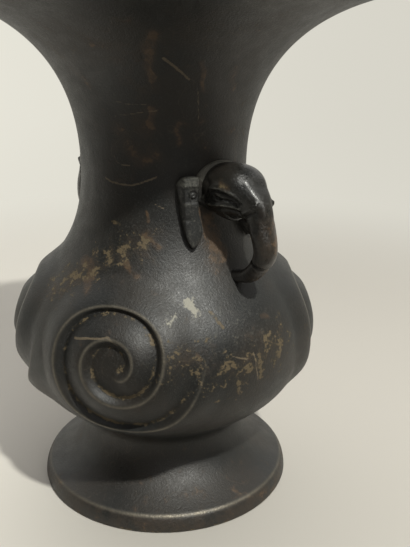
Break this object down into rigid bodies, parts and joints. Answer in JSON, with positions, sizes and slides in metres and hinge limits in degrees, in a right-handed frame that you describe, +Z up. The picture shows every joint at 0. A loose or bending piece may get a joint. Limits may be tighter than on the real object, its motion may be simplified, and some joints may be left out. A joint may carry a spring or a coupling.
{
  "type": "baluster vase",
  "caption": "Dark patinated bronze baluster vase with a trumpet mouth, elephant-head handles, cast scrolls on the belly and a spreading foot.",
  "frame": {"origin": "centre of the foot's underside, on the surface that the vase stands on", "axes": "+Z up along the vase's axis, +X towards one handle"},
  "size_m": [0.1836, 0.1836, 0.227],
  "materials": {
    "bronze_patina": "satin",
    "bronze_polished": "gloss",
    "bronze_worn": "satin"
  },
  "bodies": {
    "root": {"neck_casting": "bronze_patina", "belly_casting": "bronze_patina", "base_plate": "bronze_patina", "right_head_washer": "bronze_patina", "left_head_washer": "bronze_patina", "right_trunk_pin": "bronze_patina", "left_trunk_pin": "bronze_patina", "foot_casting": "bronze_worn", "right_front_ear_rivet": "bronze_worn", "right_back_ear_rivet": "bronze_worn", "left_front_ear_rivet": "bronze_worn", "left_back_ear_rivet": "bronze_worn", "right_elephant_head": "bronze_polished", "left_elephant_head": "bronze_polished", "right_front_ear": "bronze_polished", "right_back_ear": "bronze_polished", "left_front_ear": "bronze_polished", "left_back_ear": "bronze_polished"}
  },
  "joints": []
}
